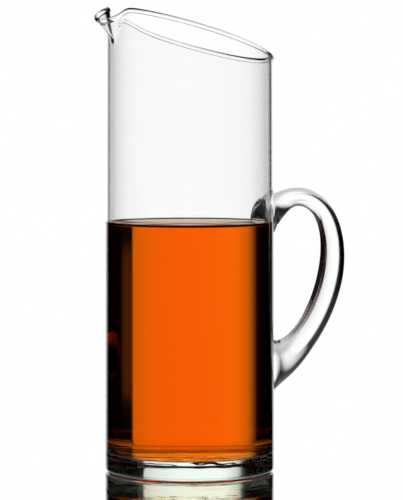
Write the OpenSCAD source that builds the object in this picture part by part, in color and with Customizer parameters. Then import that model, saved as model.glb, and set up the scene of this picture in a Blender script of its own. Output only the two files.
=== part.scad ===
// Slant-topped glass cocktail pitcher: a straight blown cylinder on a thick base,
// a pinched pouring lip, a solid glass handle fused on at both ends, and the drink inside.
// The base stands on z = 0 around the Z axis. The spout points to -X, the handle to +X.

/* [Body] */
// Outer radius of the cylinder near its foot
body_r = 50; // [42:0.5:60]
// How much smaller the outer radius is at the rim than at the foot
body_taper = 0.9; // [0:0.1:2.5]
// Height of the rim bead's top where the slanted rim crosses the axis
rim_h = 258.6; // [235:1:320]
// Tilt of the rim, high at the spout
rim_tilt = 17; // [8:0.5:22]
// Thickness of the blown wall
wall_t = 2; // [1.6:0.1:2.4]
// Thickness of the solid base under the drink
base_t = 11; // [7:0.5:18]
// Rounding of the foot outside
foot_round = 5; // [2:0.5:6]
// Rounding between the floor and the wall inside
floor_round = 3; // [1:0.5:5]
// How far the fire-polished rim bead swells past each side of the wall
bead_swell = 0.5; // [0.2:0.1:1]

/* [Spout] */
// How far the lip is drawn out past the wall
spout_reach = 10.2; // [6:0.5:13]
// Height of the pinched channel under the lip
spout_h = 15; // [11:0.5:18]
// Half width of the channel at the lip
spout_half_w = 11.2; // [10:0.2:16]
// Half width of the channel at its foot
spout_foot_half_w = 4; // [3.5:0.5:6]
// How far the lip is pressed down below the rim plane
lip_drop = 7.4; // [3:0.1:8.5]
// Rise of the ear that the pinching tool left beside the lip
ear_rise = 0.9; // [0:0.1:2.5]
// Depth of the dent behind that ear
dent_drop = 3.4; // [0:0.1:4.5]
// Rise of the swell behind the dent
swell_rise = 1.4; // [0:0.1:2]

/* [Handle] */
// Reach of the handle's outside from the wall
handle_reach = 53.2; // [44:0.5:70]
// Height of the middle of the lower joint
handle_low_z = 60; // [45:1:70]
// Height of the middle of the upper joint
handle_high_z = 147; // [130:1:160]
// Thickness of the rod at the top of the bend
rod_top_d = 11.4; // [9:0.2:15]
// Thickness of the rod along the grip
rod_grip_d = 16.2; // [11:0.2:19]
// Width of the rod from side to side
rod_w = 14; // [10:0.5:18]
// Height of the upper joint where it spreads on the wall
high_pad_h = 27; // [20:1:34]
// Width of the upper joint
high_pad_w = 30; // [18:1:36]
// Height of the lower joint where it spreads on the wall
low_pad_h = 37; // [24:1:42]
// Width of the lower joint
low_pad_w = 30; // [18:1:36]
// Depth to which the hot handle sinks into the wall
fuse_depth = 0.4; // [0.2:0.1:0.8]

/* [Drink] */
// Height of the drink's surface above the table
drink_level = 147; // [60:1:190]
// Clearance between the drink and the glass
drink_gap = 0.1; // [0.05:0.05:0.3]

/* [Hidden] */

glass_color = [0.86, 0.93, 0.90, 0.35];
drink_color = [0.95, 0.35, 0.02];

// Fineness of the round parts and of the lofted rim
round_fn = 128;
corner_steps = 8;
spout_columns = 32;
plain_columns = 56;
wall_rows = 10;
bead_steps = 8;
ring_sides = 20;
rings_per_arc = 22;

// How far the lofted rim's foot stands back from the wall's two sides, and how deep it stands in it
seam_step = 0.1;
seam_depth = 1;

// Where the spout's columns and the wall's close rows begin
spout_zone_a = 30;
close_rows_share = 0.34;

// Angles from the spout's middle, towards +Y, of the marks left by hand
lip_a = -4;
lip_spread_a = 9.5;
ear_a = 18;
ear_spread_a = 7;
dent_a = 42;
dent_spread_a = 9;
swell_a = 62;
swell_spread_a = 13;
keel_power = 2.4;

// Small steps that measure a surface's slope
slope_a = 0.5;
slope_z = 0.1;

// Height of the plain round wall that the lofted rim stands on, and its share of a radius below
rim_clear_share = 0.24;
bead_r = wall_t / 2 + bead_swell;
bead_top_z = rim_h - bead_r / cos(rim_tilt);
plain_h = bead_top_z - tan(rim_tilt) * body_r - rim_clear_share * body_r;

// Handle line from the upper joint to the lower one: two cubic curves that meet at the grip,
// as shares of the handle's reach and of the height between its joints
handle_path_shares = [[0, 1], [0.34, 1.28], [1, 1.19], [1, 0.77], [1, 0.44], [0.53, 0.04], [0, 0]];
// Shares of the handle's line over which the rod thickens and its joints spread
thicken_from_share = 0.3;
thicken_over_share = 0.3;
high_pad_share = 0.23;
low_pad_share = 0.3;
pad_power = 3.3;
turn_share = 0.14;
// Share of a joint's face that its middle ring of points takes
face_share = 0.5;

function outer_r(z) = body_r - body_taper * z / rim_h;
function inner_r(z) = outer_r(z) - wall_t;
function unit(v) = v / norm(v);
function mix(a, b, t) = a + (b - a) * t;
function limit(t) = max(0, min(1, t));
function smooth(t) = let (u = limit(t)) u * u * (3 - 2 * u);
function bell(d) = exp(-d * d);
function ring_next(i, count) = (i + 1) % count;

// Two triangles for each cell between neighbouring rings of points
function skin_faces(rows, columns) = [
    for (r = [0 : rows - 2], c = [0 : columns - 1])
        let (n = ring_next(c, columns), a = r * columns, b = a + columns)
            each [[a + c, b + n, b + c], [a + c, a + n, b + n]]
];

// Profile of a rounded corner, from one angle to another about a centre
function corner(centre, r, from, to) = [
    for (i = [0 : corner_steps])
        let (a = mix(from, to, i / corner_steps)) centre + r * [cos(a), sin(a)]
];

// Angle of each column of the lofted rim, closer together at the spout
function column_angle(i) =
    i < spout_columns
        ? mix(-spout_zone_a, spout_zone_a, i / spout_columns)
        : mix(spout_zone_a, 360 - spout_zone_a, (i - spout_columns) / plain_columns);

// Signed angle from the spout's middle
function signed_angle(a) = a > 180 ? a - 360 : a;

// Height of the bead's centre line
function rim_z(a) =
    let (s = signed_angle(a))
        bead_top_z + tan(rim_tilt) * body_r * cos(s)
        - lip_drop * bell((s - lip_a) / lip_spread_a)
        + ear_rise * bell((s - ear_a) / ear_spread_a)
        - dent_drop * bell((s - dent_a) / dent_spread_a)
        + swell_rise * bell((s - swell_a) / swell_spread_a);

lip_z = rim_z(0);
spout_foot_z = lip_z - spout_h;

// How far the spout's channel stands out from the wall, at an angle and a height
function spout_out(a, z) =
    let (
        h = max(0, z - spout_foot_z) / spout_h,
        half_w = mix(spout_foot_half_w, spout_half_w, h),
        across = limit(abs(signed_angle(a)) * PI / 180 * body_r / half_w)
    )
        spout_reach * h * pow(cos(90 * across), keel_power);

// Outer skin of the wall, its outward normal and the matching point inside
function skin(a, z) =
    let (r = outer_r(z) + spout_out(a, z)) [-r * cos(a), r * sin(a), z];
function skin_normal(a, z) =
    unit(cross(
        skin(a, z + slope_z) - skin(a, z - slope_z),
        skin(a + slope_a, z) - skin(a - slope_a, z)
    ));
function skin_at(a, z, depth) = skin(a, z) - depth * skin_normal(a, z);
function plain_ring(r) = [
    for (i = [0 : spout_columns + plain_columns - 1])
        let (a = column_angle(i)) [-r * cos(a), r * sin(a), plain_h - seam_depth]
];

// One row of the wall at a share of the way up to the rim
function wall_row(t, depth) = [
    for (i = [0 : spout_columns + plain_columns - 1])
        let (a = column_angle(i)) skin_at(a, mix(plain_h, rim_z(a) - bead_r, t), depth)
];

// One row of the round bead, in the plane square to the rim
function bead_middle(a) = skin_at(a, rim_z(a), wall_t / 2);
function bead_row(turn) = [
    for (i = [0 : spout_columns + plain_columns - 1])
        let (
            a = column_angle(i),
            out = skin_normal(a, rim_z(a)),
            along = unit(bead_middle(a + slope_a) - bead_middle(a - slope_a)),
            up = unit(cross(out, along))
        )
            bead_middle(a) + bead_r * (cos(turn) * out + sin(turn) * up)
];

row_shares = [
    for (k = [1 : wall_rows - 1]) mix(close_rows_share, 1, (k - 1) / (wall_rows - 1))
];
// Half of the gap in the bead's circle, where it grows out of the wall
bead_gap_a = acos(wall_t / 2 / bead_r);

module lofted_rim() {
    columns = spout_columns + plain_columns;
    last = len(row_shares) - 1;
    outer_rows = [for (k = [0 : last]) wall_row(row_shares[k], 0)];
    bead_rows = [
        for (j = [0 : bead_steps])
            bead_row(mix(-bead_gap_a, 180 + bead_gap_a, j / bead_steps))
    ];
    inner_rows = [for (k = [0 : last]) wall_row(row_shares[last - k], wall_t)];
    rows = concat(
        [plain_ring(outer_r(plain_h) - seam_step)],
        outer_rows,
        bead_rows,
        inner_rows,
        [plain_ring(inner_r(plain_h) + seam_step)]
    );
    n = len(rows);
    closing = [
        for (c = [0 : columns - 1])
            let (d = ring_next(c, columns), a = (n - 1) * columns)
                each [[a + c, d, c], [a + c, a + d, d]]
    ];
    polyhedron(points = [for (row = rows, p = row) p], faces = concat(skin_faces(n, columns), closing));
}

module plain_wall() {
    low_outer = outer_r(foot_round);
    low_inner = inner_r(base_t + floor_round);
    profile = concat(
        [[0, 0]],
        corner([low_outer - foot_round, foot_round], foot_round, -90, 0),
        [[outer_r(plain_h), plain_h], [inner_r(plain_h), plain_h]],
        corner([low_inner - floor_round, base_t + floor_round], floor_round, 0, -90),
        [[0, base_t]]
    );
    rotate_extrude($fn = round_fn) polygon(profile);
}

module glass_body() {
    color(glass_color)
        union() {
            plain_wall();
            lofted_rim();
        }
}

// Handle
wall_high_x = outer_r(handle_high_z);
grip_x = wall_high_x + handle_reach - rod_grip_d / 2;

function path_point(k) =
    let (share = handle_path_shares[k], z = mix(handle_low_z, handle_high_z, share[1]))
        [mix(outer_r(z), grip_x, share[0]), 0, z];
function cubic(p, q, r, s, t) =
    p * pow(1 - t, 3) + 3 * q * t * pow(1 - t, 2) + 3 * r * t * t * (1 - t) + s * pow(t, 3);
function handle_line(s) =
    s < 0.5
        ? cubic(path_point(0), path_point(1), path_point(2), path_point(3), 2 * s)
        : cubic(path_point(3), path_point(4), path_point(5), path_point(6), 2 * s - 1);

// How far a place on the handle's line has spread into the upper or the lower joint
function high_spread(s) = pow(limit(1 - s / high_pad_share), pad_power);
function low_spread(s) = pow(limit(1 - (1 - s) / low_pad_share), pad_power);
function rod_d(s) =
    mix(rod_top_d, rod_grip_d, smooth((s - thicken_from_share) / thicken_over_share));
function ring_h(s) =
    rod_d(s)
    + (high_pad_h - rod_top_d) * high_spread(s)
    + (low_pad_h - rod_grip_d) * low_spread(s);
function ring_w(s) =
    rod_w + (high_pad_w - rod_w) * high_spread(s) + (low_pad_w - rod_w) * low_spread(s);

// Direction across the rod in its own plane, turning upright where it meets the wall
function rod_across(s) =
    let (
        step = 1 / rings_per_arc / 2,
        run = unit(handle_line(min(1, s + step)) - handle_line(max(0, s - step))),
        square = [-run[2], 0, run[0]],
        upright = [0, 0, 1 - 2 * round(s)],
        turned = smooth(min(s, 1 - s) / turn_share)
    )
        unit(mix(upright, square, turned));

function rod_ring(s, share = 1) = [
    for (i = [0 : ring_sides - 1])
        let (a = 360 * i / ring_sides)
            handle_line(s)
            + share * ring_h(s) / 2 * cos(a) * rod_across(s)
            + [0, share * ring_w(s) / 2 * sin(a), 0]
];

// A ring of the joint's face, laid on the curved wall just under its surface
function on_wall(points) = [
    for (p = points)
        let (r = outer_r(p[2]) - fuse_depth) [sqrt(r * r - p[1] * p[1]), p[1], p[2]]
];

module handle() {
    last = 2 * rings_per_arc;
    start = concat(on_wall(rod_ring(0, face_share)), on_wall(rod_ring(0)));
    middle = [for (k = [1 : last - 1], p = rod_ring(k / last)) p];
    end = concat(on_wall(rod_ring(1)), on_wall(rod_ring(1, face_share)));
    rings = concat(start, middle, end);
    count = len(rings);
    tips = on_wall([handle_line(0), handle_line(1)]);
    fans = [
        for (i = [0 : ring_sides - 1])
            let (j = ring_next(i, ring_sides), b = count - ring_sides)
                each [[count, j, i], [count + 1, b + i, b + j]]
    ];
    color(glass_color)
        polyhedron(
            points = concat(rings, tips),
            faces = concat(skin_faces(count / ring_sides, ring_sides), fans)
        );
}

// Drink, shaped by the glass around it
module drink() {
    floor_z = base_t + drink_gap;
    bend_r = floor_round;
    bend_z = floor_z + bend_r;
    low_r = inner_r(bend_z) - drink_gap;
    profile = concat(
        [[0, floor_z]],
        corner([low_r - bend_r, bend_z], bend_r, -90, 0),
        [[inner_r(drink_level) - drink_gap, drink_level], [0, drink_level]]
    );
    color(drink_color) rotate_extrude($fn = round_fn) polygon(profile);
}

glass_body();
handle();
drink();
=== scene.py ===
# %% [markdown]
# A tall glass pitcher with a slanted rim, a pinched pouring lip and a solid glass handle, half
# full of an orange drink. The fixed frame holds the three solids at their real size. This lesson
# gives each of them a smooth mesh that light can bend through, the right glass or liquid, and a
# small studio: clear glass has no colour of its own, so what is round it draws it.

# %% Load the frame
import math

import bmesh
import bpy
from mathutils import Matrix, Vector


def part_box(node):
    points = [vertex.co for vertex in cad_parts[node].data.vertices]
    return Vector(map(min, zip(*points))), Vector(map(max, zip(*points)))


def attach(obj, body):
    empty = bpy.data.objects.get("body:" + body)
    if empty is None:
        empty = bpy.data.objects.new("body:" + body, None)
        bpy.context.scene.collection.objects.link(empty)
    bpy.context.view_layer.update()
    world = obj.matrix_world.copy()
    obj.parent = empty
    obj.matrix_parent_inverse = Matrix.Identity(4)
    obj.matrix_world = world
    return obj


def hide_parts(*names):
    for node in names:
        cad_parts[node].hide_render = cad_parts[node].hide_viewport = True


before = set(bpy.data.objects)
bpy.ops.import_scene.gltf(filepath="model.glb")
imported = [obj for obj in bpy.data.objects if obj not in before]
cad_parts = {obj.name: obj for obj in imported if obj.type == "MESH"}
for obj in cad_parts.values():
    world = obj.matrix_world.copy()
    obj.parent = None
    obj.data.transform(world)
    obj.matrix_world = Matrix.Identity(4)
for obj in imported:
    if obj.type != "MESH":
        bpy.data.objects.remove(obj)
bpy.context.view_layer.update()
scene = bpy.context.scene
mm = 0.001
print("the frame holds", sorted(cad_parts))

# %% [markdown]
# The sizes are the real pitcher's: a blown cylinder that narrows a little towards the rim, on a
# thick base. They are the solids' sizes, but for the rounding of the foot, which the photograph
# shows a little sharper. The rim is a slanted cut, high at the lip, that was melted in a flame, so
# that its edge drew up into a round bead.

# %% Sizes of the glass body
body_radius = 50 * mm
body_taper = 0.9 * mm
rim_height = 258.6 * mm
rim_slope = math.tan(math.radians(17))
wall = 2 * mm
base_thickness = 11 * mm
foot_rounding = 2.4 * mm
floor_rounding = 3 * mm
bead_radius = 1.5 * mm
bead_height = rim_height - bead_radius * math.hypot(1, rim_slope)
rim_clear_share = 0.24
plain_height = bead_height - (rim_slope + rim_clear_share) * body_radius


def outer_radius(height):
    return body_radius - body_taper * height / rim_height


def inner_radius(height):
    return outer_radius(height) - wall


def mix(low, high, share):
    return low + (high - low) * share


print("plain wall up to", round(plain_height / mm, 1), "mm")

# %% [markdown]
# Every part of this object is a stack of rings: circles for the glass and the drink, ovals for
# the handle. So one way of working serves them all. A circle is added, its edge is extruded and
# the new ring is moved, scaled or turned into place, again and again. Each ring's points follow
# the last ring's in the mesh, so a ring can be picked again later by its number.

# %% Start a piece and stack its rings
def start_piece(name, sides, radius, centre):
    """Adds the first ring, with everything else deselected, and opens it in edit mode."""
    bpy.ops.object.select_all(action="DESELECT")
    bpy.ops.mesh.primitive_circle_add(vertices=sides, radius=radius, location=centre)
    piece = bpy.context.object
    piece.name = name
    piece.data.name = name
    bpy.ops.object.transform_apply(location=True, rotation=False, scale=False)
    bpy.ops.object.mode_set(mode="EDIT")
    bpy.ops.mesh.select_mode(type="EDGE")
    bpy.ops.mesh.select_all(action="SELECT")
    return piece


def stack_rings(name, profile, sides):
    """Stacks level rings through the profile's (radius, height) points, open at both ends."""
    radius, height = profile[0]
    piece = start_piece(name, sides, radius, (0, 0, height))
    for next_radius, next_height in profile[1:]:
        rise = (0, 0, next_height - height)
        bpy.ops.mesh.extrude_edges_move(TRANSFORM_OT_translate={"value": rise})
        grow = next_radius / radius
        bpy.ops.transform.resize(value=(grow, grow, 1), center_override=(0, 0, next_height))
        radius, height = next_radius, next_height
    bpy.ops.mesh.select_mode(type="VERT")
    return piece


print("helpers: start_piece, stack_rings")

# %% [markdown]
# Selecting by hand is a click. In a script the ring's points are picked by their numbers, since
# a new ring's points always come last. A finished stack is smoothed with subdivision, and only
# then closed at its two ends: subdivision would cut an earlier cap into a fan of thin slivers.

# %% Pick points and finish a piece
def pick(piece, numbers):
    """Selects these points alone, in edit mode."""
    bpy.ops.mesh.select_all(action="DESELECT")
    cage = bmesh.from_edit_mesh(piece.data)
    cage.verts.ensure_lookup_table()
    for number in numbers:
        cage.verts[number].select = True
    cage.select_flush_mode()
    bmesh.update_edit_mesh(piece.data)


def finish_piece(piece, levels):
    """Smooths the cage with subdivision, closes its two ends and turns the faces outwards."""
    bpy.ops.mesh.reveal(select=False)
    bpy.ops.object.mode_set(mode="OBJECT")
    rounding = piece.modifiers.new("rounding", "SUBSURF")
    rounding.levels = levels
    rounding.render_levels = levels
    bpy.ops.object.modifier_apply(modifier=rounding.name)
    bpy.ops.object.mode_set(mode="EDIT")
    bpy.ops.mesh.select_all(action="SELECT")
    bpy.ops.mesh.fill_holes(sides=0)
    bpy.ops.mesh.select_all(action="SELECT")
    bpy.ops.mesh.normals_make_consistent(inside=False)
    bpy.ops.object.mode_set(mode="OBJECT")
    bpy.ops.object.shade_smooth()
    print(piece.name, "has", len(piece.data.polygons), "faces")


def arc(centre, radius, start, end, steps):
    """Points of an arc in the profile, from one angle to another in degrees."""
    turns = [math.radians(mix(start, end, i / steps)) for i in range(steps + 1)]
    return [
        (centre[0] + radius * math.cos(turn), centre[1] + radius * math.sin(turn))
        for turn in turns
    ]


print("helpers: pick, finish_piece, arc")

# %% [markdown]
# The glass body is one blown piece, so it is one closed skin: up the outside, over the bead and
# down the inside to the floor. All rings start level. The close rings below the rim are there so
# that the next steps can tilt and pinch them.

# %% Stack the body's rings
sides = 192
tilt_steps = 14
bead_steps = 12
foot_steps = 8
corner_steps = 7
underside_ring = 3 * mm
floor_rings = [r * mm for r in (40, 30, 20, 10)]
rim_shares = [k / tilt_steps for k in range(1, tilt_steps + 1)]
wall_heights = [z * mm for z in (12, 40, 75, 110, 145, 180, 210)] + [plain_height]
bead_gap = math.degrees(math.acos(wall / 2 / bead_radius))
# Subdivision pulls a ring inwards, so the cage is larger than the bead by just that much
bead_cage = bead_radius * 3 / (2 + math.cos(math.radians((180 + 2 * bead_gap) / bead_steps)))


def rim_row_height(share):
    return mix(plain_height, bead_height - bead_radius, share)


foot_centre = (outer_radius(foot_rounding) - foot_rounding, foot_rounding)
floor_top = base_thickness + floor_rounding
floor_centre = (inner_radius(floor_top) - floor_rounding, floor_top)
bead_centre = (outer_radius(bead_height) - wall / 2, bead_height)

profile = [(foot_centre[0] - underside_ring, 0)]
profile += arc(foot_centre, foot_rounding, -90, 0, foot_steps)
profile += [(outer_radius(z), z) for z in wall_heights]
first_tilted = len(profile)
profile += [(outer_radius(rim_row_height(t)), rim_row_height(t)) for t in rim_shares]
first_bead = len(profile)
profile += arc(bead_centre, bead_cage, -bead_gap, 180 + bead_gap, bead_steps)
last_bead = len(profile) - 1
inner_shares = rim_shares[::-1]
profile += [(inner_radius(rim_row_height(t)), rim_row_height(t)) for t in inner_shares]
last_tilted = len(profile) - 1
profile += [(inner_radius(z), z) for z in wall_heights[:0:-1]]
profile += arc(floor_centre, floor_rounding, 0, -90, corner_steps)
profile += [(r, base_thickness) for r in floor_rings]
glass_body = stack_rings("blown_body", profile, sides)

tilt_of = {}
for k, share in enumerate(rim_shares):
    tilt_of[first_tilted + k] = share
    tilt_of[last_tilted - k] = share
for k in range(first_bead, last_bead + 1):
    tilt_of[k] = 1
print(len(profile), "rings of", sides, "points")

# %% [markdown]
# The lip was pinched while the glass was soft. One tool pulled the channel out, another pressed
# beside it, and left an ear, a dent and a swell on one side. Sculpting would do it freely, but
# these marks are small and even, so each is a smooth bell of its own width round the rim.

# %% Sizes of the lip and the marks beside it
spout_reach = 10.6 * mm
spout_height = 12 * mm
spout_half_width = 11.6 * mm
spout_foot_half_width = 4.2 * mm
# Angle from the spout's middle in degrees, rise at the rim and width in degrees of each mark
marks = [(-4, -7.4 * mm, 9.5), (18, 0.9 * mm, 7), (42, -3.4 * mm, 9), (62, 1.4 * mm, 13)]


def rim_mark(angle):
    return sum(rise * math.exp(-(((angle - middle) / width) ** 2)) for middle, rise, width in marks)


lip_height = bead_height + rim_slope * body_radius + rim_mark(0)
spout_foot = lip_height - spout_height
print("the lip's bead is", round(lip_height / mm, 1), "mm above the table")

# %% [markdown]
# The channel is drawn out while the rings are still level. Each ring's middle point is pulled
# with a smooth falloff and the other rings are hidden, so that the pull fades along the ring
# alone. The pull leans down by the ring's later tilt, which will make it level again.

# %% Draw out the lip
def ring_points(number):
    return range(number * sides, (number + 1) * sides)


def ring_tilt(number):
    return math.atan(tilt_of[number] * rim_slope)


cage = bmesh.from_edit_mesh(glass_body.data)
cage.verts.ensure_lookup_table()
columns = {}
for number in tilt_of:
    for i in ring_points(number):
        spot = cage.verts[i].co
        turn = math.degrees(math.atan2(spot.y, -spot.x))
        columns.setdefault(round(turn * sides / 360), []).append(i)

for number, share in tilt_of.items():
    row_top = mix(plain_height, lip_height - bead_radius, share)
    level = lip_height if first_bead <= number <= last_bead else row_top
    drawn = (level - spout_foot) / spout_height
    if drawn <= 0:
        continue
    pick(glass_body, ring_points(number))
    bpy.ops.mesh.hide(unselected=True)
    middle = next(i for i in columns[0] if i in ring_points(number))
    pick(glass_body, [middle])
    tilt = ring_tilt(number)
    reach = spout_reach * drawn * math.cos(tilt)
    bpy.ops.transform.translate(
        value=(-reach * math.cos(tilt), 0, -reach * math.sin(tilt)),
        use_proportional_edit=True,
        proportional_edit_falloff="SMOOTH",
        proportional_size=mix(spout_foot_half_width, spout_half_width, drawn),
    )
    bpy.ops.mesh.reveal(select=False)
print("the wall is drawn out from", round(spout_foot / mm, 1), "mm up")

# %% [markdown]
# Slanting the rim without crushing the round wall takes two moves on each ring: a turn about the
# ring's own centre, and a stretch that brings its outline back to a circle seen from above. The
# higher the ring, the larger its share of the full tilt.

# %% Tilt the rings below the rim
for number in tilt_of:
    pick(glass_body, ring_points(number))
    tilt = ring_tilt(number)
    centre = (0, 0, profile[number][1])
    bpy.ops.transform.rotate(value=-tilt, orient_axis="Y", center_override=centre)
    stretch = 1 / math.cos(tilt)
    bpy.ops.transform.resize(value=(stretch, 1, stretch), center_override=centre)
print(len(tilt_of), "rings tilted, up to", round(math.degrees(ring_tilt(first_bead)), 1), "degrees")

# %% [markdown]
# The marks move straight up or down. In each upright column of points the bead moves as a whole,
# and the wall below it stretches from its plain part, so no step shows anywhere.

# %% Press the marks into the rim
smallest_mark = 0.02 * mm
for turn, points in columns.items():
    angle = turn * 360 / sides
    rise = rim_mark(angle)
    if abs(rise) < smallest_mark:
        continue
    bead = [i for i in points if first_bead <= i // sides <= last_bead]
    pick(glass_body, bead)
    bpy.ops.transform.translate(value=(0, 0, rise))
    pick(glass_body, set(points) - set(bead))
    slanted = rim_slope * body_radius * math.cos(math.radians(angle))
    column_height = bead_height - bead_radius + slanted - plain_height
    bpy.ops.transform.resize(
        value=(1, 1, 1 + rise / column_height), center_override=(0, 0, plain_height)
    )

cage = bmesh.from_edit_mesh(glass_body.data)
cage.verts.ensure_lookup_table()
rim_points = [cage.verts[i].co.copy() for i in ring_points(first_bead + bead_steps // 2)]
print("rim from", round(min(p.z for p in rim_points) / mm, 1), "to",
      round(max(p.z for p in rim_points) / mm, 1), "mm, drawn out to x",
      round(min(p.x for p in rim_points) / mm, 1))
finish_piece(glass_body, levels=1)

# %% [markdown]
# The drink takes its shape from the glass. Its skin reaches a little into the wall: with a film
# of air between them the light would be thrown back there, and the drink would look like a
# lozenge hanging in the glass. Where its surface meets the wall it climbs a little. The rings are
# close there, because subdivision pulls widely spaced rings out of a sharp edge.

# %% Stack the drink's rings
drink_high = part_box("drink")[1]
wetting = 0.12 * mm
meniscus_rise = 2.4 * mm
meniscus_width = 4.2 * mm
meniscus_curve = 1.6
surface_drop = 1.5 * mm
drink_level = drink_high.z - surface_drop
drink_floor = base_thickness - wetting
drink_corner = (floor_centre[0], floor_top)
contact = drink_level + meniscus_rise
close_drops = [8 * mm, 2.5 * mm, 0.6 * mm]
plain_below_contact = 12 * mm
side_heights = [z for z in wall_heights if z < contact - plain_below_contact]
side_heights += [contact - drop for drop in close_drops]
surface_steps = [0, 0.08, 0.2, 0.36, 0.56, 0.8, 1.1, 1.5, 2.1, 3]
surface_rings = [r * mm for r in (32, 22, 12)]
profile = [(r, drink_floor) for r in floor_rings[2::-2]]
profile += arc(drink_corner, floor_rounding + wetting, -90, 0, corner_steps)
profile += [(inner_radius(z) + wetting, z) for z in side_heights]
edge = inner_radius(drink_level) + wetting
for step in surface_steps:
    climb = meniscus_rise * math.exp(-step * meniscus_curve)
    profile.append((edge - step * meniscus_width, drink_level + climb))
profile += [(r, drink_level) for r in surface_rings]
drink = stack_rings("orange_drink", profile, sides)
print("drink's level", round(drink_level / mm, 1), "mm, at the wall", round(contact / mm, 1), "mm")
finish_piece(drink, levels=1)

# %% [markdown]
# The handle is a solid rod of hot glass, set on the wall at the top, drawn out, bent down in a
# loop and pressed onto the wall again. At both ends the soft glass spread into a pad. Its line is
# two cubic curves, and its rings are ovals that swell at the pads.

# %% Sizes of the handle
handle_reach = 53.2 * mm
handle_low_z = 60 * mm
handle_high_z = 147 * mm
rod_top = 11.4 * mm
rod_grip = 16.2 * mm
rod_width = 14 * mm
high_pad = (27 * mm, 30 * mm)
low_pad = (37 * mm, 30 * mm)
high_pad_length = 0.23
low_pad_length = 0.3
pad_sharpness = 3.3
upright_length = 0.14
fuse_depth = 0.5 * mm
face_shares = [0.06, 0.5, 1]
line_shares = [(0, 1), (0.34, 1.28), (1, 1.19), (1, 0.77), (1, 0.44), (0.53, 0.04), (0, 0)]
swell_start = 0.3
swell_length = 0.3
handle_sides = 32
handle_steps = 60
grip_x = outer_radius(handle_high_z) + handle_reach - rod_grip / 2
print("the rod's middle reaches x", round(grip_x / mm, 1), "mm")

# %% [markdown]
# These helpers say where the rod's middle runs, how tall and wide its oval is at any place, and
# which way the oval's tall side points. Places along the rod are shares, from the upper joint at
# 0 to the lower one at 1, so the handle keeps its form when a size is changed.

# %% Shape the handle's line and ovals
def line_point(number):
    out, up = line_shares[number]
    height = mix(handle_low_z, handle_high_z, up)
    return Vector((mix(outer_radius(height), grip_x, out), 0, height))


def handle_line(share):
    """A point of the handle's middle line, from the upper joint at 0 to the lower one at 1."""
    first, t = (0, 2 * share) if share < 0.5 else (3, 2 * share - 1)
    weights = ((1 - t) ** 3, 3 * t * (1 - t) ** 2, 3 * t * t * (1 - t), t ** 3)
    points = (line_point(first + k) * weight for k, weight in enumerate(weights))
    return sum(points, Vector((0, 0, 0)))


def smooth(share):
    share = max(0, min(1, share))
    return share * share * (3 - 2 * share)


def ring_size(share):
    """Height and width of the rod's oval."""
    high_spread = max(0, 1 - share / high_pad_length) ** pad_sharpness
    low_spread = max(0, 1 - (1 - share) / low_pad_length) ** pad_sharpness
    rod = mix(rod_top, rod_grip, smooth((share - swell_start) / swell_length))
    tall = rod + (high_pad[0] - rod_top) * high_spread + (low_pad[0] - rod_grip) * low_spread
    wide = (
        rod_width
        + (high_pad[1] - rod_width) * high_spread
        + (low_pad[1] - rod_width) * low_spread
    )
    return tall, wide


def ring_lean(share):
    """Direction of the oval's tall side, which turns upright where the rod meets the wall."""
    step = 0.5 / handle_steps
    ahead = handle_line(min(1, share + step)) - handle_line(max(0, share - step))
    square = Vector((-ahead.z, 0, ahead.x)).normalized()
    upright = Vector((0, 0, 1 - 2 * round(share)))
    return upright.lerp(square, smooth(min(share, 1 - share) / upright_length)).normalized()


print("rod at its middle:", [round(size / mm, 1) for size in ring_size(0.5)], "mm")

# %% [markdown]
# The first oval is a circle stood on edge at the upper joint. Each next one is extruded, moved
# along the line, turned and scaled, as a glass worker would draw it out. A few rings extruded in
# place at either end give the joint a face of its own.

# %% Extrude the handle
def next_ring(move, grow_across, grow_wide, around, across, turn):
    """Extrudes a ring from the last one and turns and scales it, in the rod's own directions."""
    bpy.ops.mesh.extrude_edges_move(TRANSFORM_OT_translate={"value": move})
    bpy.ops.transform.rotate(value=turn, orient_axis="Y", center_override=around)
    sideways = Vector((0, 1, 0))
    grid = Matrix((across.cross(sideways), sideways, across)).transposed()
    bpy.ops.transform.resize(
        value=(1, grow_wide, grow_across),
        orient_type="GLOBAL",
        orient_matrix=grid,
        orient_matrix_type="GLOBAL",
        center_override=around,
    )


def spread_face(shares, where, across):
    """Extrudes rings in place, so that a joint's end has a face of its own."""
    for share, next_share in zip(shares, shares[1:]):
        next_ring((0, 0, 0), next_share / share, next_share / share, where, across, 0)


here, size, across = handle_line(0), ring_size(0), ring_lean(0)
handle = start_piece("glass_handle", handle_sides, face_shares[0], (0, 0, 0))
bpy.ops.transform.rotate(value=math.pi / 2, orient_axis="Y", center_override=(0, 0, 0))
bpy.ops.transform.resize(value=(1, size[1] / 2, size[0] / 2), center_override=(0, 0, 0))
bpy.ops.transform.translate(value=here)
spread_face(face_shares, here, across)
for k in range(1, handle_steps + 1):
    share = k / handle_steps
    there, next_size, next_across = handle_line(share), ring_size(share), ring_lean(share)
    turn = math.atan2(across.x, across.z) - math.atan2(next_across.x, next_across.z)
    turn = (turn + math.pi) % (2 * math.pi) - math.pi
    grow = (next_size[0] / size[0], next_size[1] / size[1])
    next_ring(there - here, *grow, there, next_across, turn)
    here, size, across = there, next_size, next_across
spread_face(face_shares[::-1], here, across)
print("handle drawn out in", handle_steps, "rings of", handle_sides, "points")

# %% [markdown]
# The two end faces are flat and the wall is round. Each of their points is pressed in or out until
# it lies just under the wall's surface, so that no air shows in the joint. A shrinkwrap would
# crush the pads there, while this keeps their outline.

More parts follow.
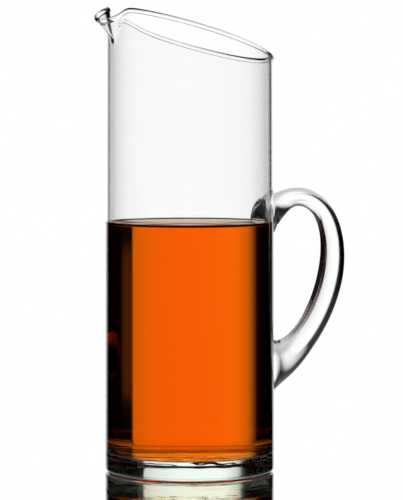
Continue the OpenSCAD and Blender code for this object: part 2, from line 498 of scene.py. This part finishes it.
# %% Press the handle onto the wall
bpy.ops.mesh.select_mode(type="VERT")
cage = bmesh.from_edit_mesh(handle.data)
face_points = len(face_shares) * handle_sides
ends = list(range(face_points)) + list(range(len(cage.verts) - face_points, len(cage.verts)))
cage.verts.ensure_lookup_table()
spots = [cage.verts[i].co.copy() for i in ends]
for i, spot in zip(ends, spots):
    pick(handle, [i])
    under_skin = math.sqrt((outer_radius(spot.z) - fuse_depth) ** 2 - spot.y**2)
    bpy.ops.transform.translate(value=(under_skin - spot.x, 0, 0))
finish_piece(handle, levels=2)

# %% [markdown]
# The materials and the studio's light need some sums. A node for every plus and minus would hide
# them, so a small class wraps a node's outlet, and Python's own signs add the nodes.

# %% Wrap an outlet for shader maths
class Wire:
    """A node's outlet that can be added, multiplied and compared like a number."""

    def __init__(self, recipe, socket):
        self.recipe = recipe
        self.socket = socket

    def maths(self, operation, *values):
        sockets = dict(enumerate(values))
        return self.recipe.node("Math", {"operation": operation}, sockets)["Value"]

    def __add__(self, other):
        return self.maths("ADD", self, other)

    def __sub__(self, other):
        return self.maths("SUBTRACT", self, other)

    def __rsub__(self, other):
        return self.maths("SUBTRACT", other, self)

    def __mul__(self, other):
        return self.maths("MULTIPLY", self, other)

    def __truediv__(self, other):
        return self.maths("DIVIDE", self, other)

    def __lt__(self, other):
        return self.maths("LESS_THAN", self, other)

    def __gt__(self, other):
        return self.maths("GREATER_THAN", self, other)


print("an outlet knows + - * / < and >")

# %% [markdown]
# A material is a tree of nodes. By hand one drags them in and draws the links. Here one method
# adds any node, sets what it holds, and links or fills its sockets, so that each material below
# reads like a list of what goes into it.

# %% Write a material as a recipe
class Recipe:
    """The node tree of one material or of the world, emptied first."""

    def __init__(self, owner):
        owner.use_nodes = True
        self.tree = owner.node_tree
        self.tree.nodes.clear()

    def node(self, kind, settings=None, sockets=None):
        """Adds a node: its settings first, a ramp's stops among them, then its sockets."""
        made = self.tree.nodes.new("ShaderNode" + kind)
        for name, value in (settings or {}).items():
            if name == "stops":
                self.set_stops(made.color_ramp, value)
            else:
                setattr(made, name, value)
        for name, value in (sockets or {}).items():
            if isinstance(value, Wire):
                self.tree.links.new(value.socket, made.inputs[name])
            else:
                made.inputs[name].default_value = value
        return {outlet.name: Wire(self, outlet) for outlet in made.outputs}

    @staticmethod
    def set_stops(ramp, stops):
        while len(ramp.elements) < len(stops):
            ramp.elements.new(0.5)
        for element, (place, colour) in zip(ramp.elements, stops):
            element.position = place
            element.color = (*colour, 1)


def grey(level):
    return (level, level, level)


def ramp(recipe, value, stops):
    """A curve through these places and grey levels."""
    greys = [(place, grey(level)) for place, level in stops]
    return recipe.node("ValToRGB", {"stops": greys}, {"Fac": value})["Color"]


print("helpers: Recipe, grey, ramp")

# %% [markdown]
# Some steps serve every clear material: a surface that lets all light through, the place on the
# piece, slow random waves, and a skin that these waves tilt. Nothing blown by hand is quite even.

# %% Helpers for clear materials
def clear_surface(recipe, bend, colour, skin):
    sockets = {"Base Color": colour, "Roughness": 0.0, "IOR": bend, "Transmission Weight": 1.0}
    return recipe.node("BsdfPrincipled", sockets={**sockets, "Normal": skin})["BSDF"]


def start_material(name):
    """A new material, its recipe, and the place on the piece."""
    material = bpy.data.materials.new(name)
    recipe = Recipe(material)
    return material, recipe, recipe.node("TexCoord")["Object"]


def radius_and_height(recipe, place):
    """Distance from the pitcher's axis, and height."""
    parts = recipe.node("SeparateXYZ", sockets={"Vector": place})
    across = parts["X"] * parts["X"] + parts["Y"] * parts["Y"]
    return across.maths("SQRT", across), parts["Z"]


def noise(recipe, place, size, detail=1.0, flatness=1.0):
    """Slow random waves of this size, pressed flat by this factor."""
    mapped = recipe.node("Mapping", sockets={"Vector": place, "Scale": (1, 1, flatness)})["Vector"]
    sockets = {"Vector": mapped, "Scale": 1 / size, "Detail": detail}
    return recipe.node("TexNoise", sockets=sockets)["Fac"]


def skin_slant(recipe):
    """0 where the skin faces the eye, and 1 where it is seen edge on."""
    return recipe.node("LayerWeight", sockets={"Blend": 0.5})["Facing"]


def wavy_skin(recipe, waves, depth):
    sockets = {"Height": waves, "Distance": depth, "Strength": 1.0}
    return recipe.node("Bump", sockets=sockets)["Normal"]


def finish_material(recipe, surface, tint, strength):
    """Gives the surface an inside that takes up light, so that colour grows with depth."""
    inside = recipe.node("VolumeAbsorption", sockets={"Color": tint, "Density": strength})
    recipe.node("OutputMaterial", sockets={"Surface": surface, "Volume": inside["Volume"]})


print("helpers: clear_surface, start_material, radius_and_height, noise, skin_slant, wavy_skin")

# %% [markdown]
# Glass bends light by 1.52. Its faint green belongs to its inside: the thin wall shows none of it,
# and the thick base some. The base is the last of the gather to cool and so the lumpiest. Where
# the wall is wet, light goes on into the drink and bends by much less, for there only the ratio of
# the two counts. So the body's skin is a mix of two surfaces, picked by radius and height. Without
# this the wet wall would mirror the room, and the drink would look milky. The base's sides are
# nearly black on the real one, so painted shade that grows with the slant of the skin darkens them.

# %% Mix the body's glass
glass_bend = 1.52
drink_bend = 1.345
glass_tint = (0.645, 0.887, 0.71, 1)
glass_tint_strength = 4.0
white = (1, 1, 1, 1)
body_wave = 45 * mm
lump_size = 14 * mm
lump_flatness = 2.5
wave_depth = 0.02 * mm
side_lumps = 5
floor_lumps = 40
edge_zone = 1.5 * mm
base_shade_by_slant = [(0.2, 0), (0.23, 0.9)]
glass, recipe, place = start_material("blown_glass")
radius, height = radius_and_height(recipe, place)
base_side = (height > edge_zone) * (height < floor_top)
inner_floor = (height > base_thickness - edge_zone) * (height < base_thickness + edge_zone)
lumps = noise(recipe, place, lump_size, flatness=lump_flatness)
lumps = lumps * (base_side * side_lumps + inner_floor * floor_lumps)
skin = wavy_skin(recipe, noise(recipe, place, body_wave) + lumps, wave_depth)
slant = skin_slant(recipe)
low_side = (height > edge_zone) * (height < base_thickness)
# Painted shade: the base's low sides turn nearly black where their skin is seen edge on
base_painted_shade = ramp(recipe, slant, base_shade_by_slant) * low_side
dry_surface = clear_surface(recipe, glass_bend, 1 - base_painted_shade, skin)
print("dry glass bends light by", glass_bend)

# %% [markdown]
# Seen from any side, the small curve where the drink climbs the wall throws light so far aside
# that it shows as a nearly black line. A few rings are too coarse for it, so the wet skin gets
# that dark line as painted shade too. It is a narrow band, and it fades at both edges.

# %% Paint the waterline's shade and finish the body's glass
# Painted shade: a nearly black band on the wet skin just above the drink's level
waterline_shade_colour = (0.004, 0.003, 0.001)
line_foot = drink_level + 0.6 * mm
line_height = 1.6 * mm
waterline_shade_stops = [(0.0, grey(1)), (0.15, waterline_shade_colour), (0.8, waterline_shade_colour), (1.0, grey(1))]
up_the_line = (height - line_foot) / line_height
# line holds the painted waterline shade, which the wet surface takes as its colour
line = recipe.node("ValToRGB", {"stops": waterline_shade_stops}, {"Fac": up_the_line})["Color"]
wet_surface = clear_surface(recipe, glass_bend / drink_bend, line, skin)
middle_of_wall = inner_radius(contact) + wall / 2
wet = (radius < middle_of_wall) * (height < contact) * (height > base_thickness / 2)
surface = recipe.node("MixShader", sockets={0: wet, 1: dry_surface, 2: wet_surface})["Shader"]
finish_material(recipe, surface, glass_tint, glass_tint_strength)
glass_body.data.materials.append(glass)
print("wet glass bends light by", round(glass_bend / drink_bend, 3))

# %% [markdown]
# The handle is the same glass, drawn out instead of blown. It touches no drink, so one surface
# does for it. A solid rod turns the dark at the sides of the studio into black bands along its
# upright edges. The bands are broad in the photograph, so painted shade that grows with the slant
# of the skin widens them a little. It leaves out the level parts, whose edges see the light above,
# and the two pads.

# %% Mix the handle's glass
handle_wave = 30 * mm
edge_shade_by_slant = [(0.14, 0), (0.21, 0.998)]
edge_shade_by_level = [(0.4, 1), (0.52, 0)]
edge_shade_by_reach = [(0.6, 0), (0.75, 1)]
full_reach = 100 * mm
glass, recipe, place = start_material("handle_glass")
slant = skin_slant(recipe)
facing = recipe.node("SeparateXYZ", sockets={"Vector": recipe.node("TexCoord")["Normal"]})["Z"]
level = facing.maths("ABSOLUTE", facing)
reach = radius_and_height(recipe, place)[0] / full_reach
# Painted shade: black bands along the rod's upright edges, left off its level parts and the pads
edge_band_shade = ramp(recipe, slant, edge_shade_by_slant) * ramp(recipe, level, edge_shade_by_level)
edge_band_shade = edge_band_shade * ramp(recipe, reach, edge_shade_by_reach)
skin = wavy_skin(recipe, noise(recipe, place, handle_wave), wave_depth)
surface = clear_surface(recipe, glass_bend, 1 - edge_band_shade, skin)
finish_material(recipe, surface, glass_tint, glass_tint_strength)
handle.data.materials.append(glass)
print("handle:", [slot.name for slot in handle.data.materials])

# %% [markdown]
# The drink is clear too, and gets its orange from its depth: the blue is gone after a few
# millimetres, the green after a few centimetres. Only its free surface bends light. Where it
# touches the glass, the glass's own skin does that already, so there the drink bends by 1. Fruit
# juice is never quite even, so its surface is a little darker in clouds.

# %% Mix the drink
drink_tint = (0.996, 0.727, 0.0, 1)
drink_tint_strength = 85.0
cloud_size = 40 * mm
ripple_size = 60 * mm
ripple_depth = 0.003 * mm
cloud_stops = [(0.3, (1.0, 0.97, 0.93)), (0.7, grey(1.0))]
liquid, recipe, place = start_material("orange_liquid")
cloudy = noise(recipe, place, cloud_size, detail=2.0)
clouds = recipe.node("ValToRGB", {"stops": cloud_stops}, {"Fac": cloudy})["Color"]
skin = wavy_skin(recipe, noise(recipe, place, ripple_size, detail=0.0), ripple_depth)
free_surface = clear_surface(recipe, drink_bend, clouds, skin)
held_surface = clear_surface(recipe, 1.0, white, skin)
radius, height = radius_and_height(recipe, place)
at_wall = radius > inner_radius(drink_level) + wetting / 2
held = at_wall.maths("MAXIMUM", at_wall, height < drink_level - wetting)
surface = recipe.node("MixShader", sockets={0: held, 1: free_surface, 2: held_surface})["Shader"]
finish_material(recipe, surface, drink_tint, drink_tint_strength)
drink.data.materials.append(liquid)
print("drink:", liquid.name, "tinted", drink_tint[:3])

# %% [markdown]
# Glass is drawn by what stands round it. Here that is one lit panel behind the pitcher, 50 degrees
# wide and soft at one side, and dark on either side of it: the dark is what puts the black edges on
# the drink and the handle. The lights are lists of a heading or a height in degrees and a level, so
# that each edge can be moved by itself.

# %% Plan the studio's lights
back_heading = 24
panel = [
    (-33, 0), (-30.7, 0.03), (-28.1, 0.22), (-26, 0.46), (-24, 0.66), (-20.5, 0.83),
    (-16, 1), (0, 1), (9, 0.94), (15, 0.86), (22.9, 0.67), (23.8, 0),
]
panel_height = [(18, 1), (30.6, 0.05)]
card = [(23.3, 0), (23.8, 0.065), (30, 0.055), (33, 0)]
card_low, card_high = 3.6, 6.9
low_fill = [(-78, 0.92), (-74, 0), (74, 0), (78, 0.92)]
low_fill_height = [(13, 1), (17, 0)]
high_fill = [(-60, 0.92), (-56, 0), (56, 0), (60, 0.92)]
high_fill_height = [(13, 0), (17, 1), (40, 1), (50, 0)]
thrown_back_share = 0.3
crossings_once_across = 6
brightness = 1.08
# A ramp runs from 0 to 1, with the back of the studio, or the level, halfway
halfway = 0.5


def heading_light(recipe, turn, stops):
    return ramp(recipe, turn, [(degrees / 360 + halfway, level) for degrees, level in stops])


def height_light(recipe, rise, stops):
    return ramp(recipe, rise, [(degrees / 180 + halfway, level) for degrees, level in stops])


print("panel from", panel[0][0], "to", panel[-1][0], "degrees")

# %% [markdown]
# The world mixes these lights by direction. The camera, the floor's own shine and its matt light
# see plain white, which makes the pale background. Only what passes through the glass sees the
# panel and the dark. The fill lights, all round from the sides to behind the camera, are there for
# the views from elsewhere. Light that was thrown back on its way, as by the floor, sees less of
# them, and none once it has crossed more skins than the six on one way through wall and drink.

# %% Light the studio
# Bounces are whole numbers, so these limits lie halfway between two of them
one_or_more = 0.5
camera_and_floor_only = 2.5
world = bpy.data.worlds.new("studio")
scene.world = world
recipe = Recipe(world)
direction = recipe.node("SeparateXYZ", sockets={"Vector": recipe.node("TexCoord")["Generated"]})
heading = direction["X"].maths("ARCTAN2", direction["X"], direction["Y"])
turn = heading / math.tau + (halfway - back_heading / 360)
turn = turn.maths("FRACT", turn)
rise = direction["Z"].maths("ARCSINE", direction["Z"]) / math.pi + halfway
off_level = rise.maths("ABSOLUTE", rise - halfway)
path = recipe.node("LightPath")
floor_ray = path["Is Glossy Ray"] * (1 - path["Is Singular Ray"])
thrown_back = (path["Glossy Depth"] - floor_ray) > one_or_more
crossings = path["Transmission Depth"]
once_across = thrown_back * (crossings < crossings_once_across + one_or_more)
fill_share = (crossings > one_or_more) * ((1 - thrown_back) + once_across * thrown_back_share)
back_light = heading_light(recipe, turn, panel) * height_light(recipe, rise, panel_height)
beside_drink = (off_level > card_low / 180) * (off_level < card_high / 180)
card_light = heading_light(recipe, turn, card) * beside_drink
low_light = heading_light(recipe, turn, low_fill) * height_light(recipe, rise, low_fill_height)
high_light = heading_light(recipe, turn, high_fill) * height_light(recipe, rise, high_fill_height)
seen = back_light + card_light + (low_light + high_light) * fill_share
bare_floor = floor_ray * (path["Ray Depth"] < camera_and_floor_only)
plain = path["Is Camera Ray"] + bare_floor + path["Is Diffuse Ray"]
strength = plain + (1 - plain) * seen * brightness
light = recipe.node("Background", sockets={"Color": white, "Strength": strength})
recipe.node("OutputWorld", sockets={"Surface": light["Background"]})
print("world:", world.name)

# %% [markdown]
# The floor is pale and polished. Looked at flatly it is nearly a mirror, and that is where the
# pitcher's reflection stands; from above it is matt and keeps the shadow. A glow in its colour
# keeps the shadow soft. It lies a hair below the base, so that the two faces never share a place.

# %% Lay the floor
floor_radius = 4
floor_sides = 96
floor_gap = 0.3 * mm
floor_grey = 0.82
floor_glow = 0.18
floor_gloss_blur = 0.04
polish_by_slant = [(0.0, 0.06), (0.36, 0.25), (0.58, 0.5), (0.74, 0.8), (0.84, 1)]
bpy.ops.object.select_all(action="DESELECT")
bpy.ops.mesh.primitive_circle_add(vertices=floor_sides, radius=floor_radius, fill_type="NGON")
floor = bpy.context.object
floor.name = "studio_floor"
bpy.ops.transform.translate(value=(0, 0, -floor_gap))
bpy.ops.object.transform_apply(location=True, rotation=False, scale=False)
paint = bpy.data.materials.new("polished_floor")
recipe = Recipe(paint)
slant = skin_slant(recipe)
polish = ramp(recipe, slant, polish_by_slant)
matt = recipe.node("BsdfDiffuse", sockets={"Color": (*grey(floor_grey), 1)})["BSDF"]
glow = recipe.node("Emission", sockets={"Color": white, "Strength": floor_glow})["Emission"]
pale = recipe.node("AddShader", sockets={0: matt, 1: glow})["Shader"]
shine = recipe.node(
    "BsdfAnisotropic", sockets={"Color": white, "Roughness": floor_gloss_blur}
)["BSDF"]
both = recipe.node("MixShader", sockets={0: polish, 1: pale, 2: shine})["Shader"]
recipe.node("OutputMaterial", sockets={"Surface": both})
floor.data.materials.append(paint)
print("floor:", floor.name)

# %% [markdown]
# The camera stands a little above the drink's level, far off, with a long lens: fitted to the
# curves of the rim, the drink's surface and the foot, it puts each of them where the photograph
# has it. Light bends up to a dozen times on its way through the glass, so it may bounce often.

# %% Stand the camera
camera_distance = 1.523
camera_height = 222.7 * mm
camera_azimuth = math.radians(-24)
camera_pitch = math.radians(-3.458)
camera_yaw = math.radians(0.265)
sensor = 36
lens_per_sensor = 5.17
glass_bounces = 32
mirror_bounces = 12
camera = bpy.data.objects.new("camera", bpy.data.cameras.new("camera"))
scene.collection.objects.link(camera)
camera.location = (
    camera_distance * math.sin(camera_azimuth),
    -camera_distance * math.cos(camera_azimuth),
    camera_height,
)
camera.rotation_euler = (math.pi / 2 + camera_pitch, 0, camera_azimuth - camera_yaw)
camera.data.sensor_width = sensor
camera.data.lens = lens_per_sensor * sensor
scene.camera = camera
scene.view_settings.view_transform = "Standard"
scene.cycles.max_bounces = glass_bounces
scene.cycles.transmission_bounces = glass_bounces
scene.cycles.glossy_bounces = mirror_bounces
print("camera", round(camera_distance, 3), "m away")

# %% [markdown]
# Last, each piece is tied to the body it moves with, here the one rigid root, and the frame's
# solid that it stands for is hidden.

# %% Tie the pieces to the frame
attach(glass_body, "root")
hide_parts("glass_body")
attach(handle, "root")
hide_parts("handle")
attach(drink, "root")
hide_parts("drink")
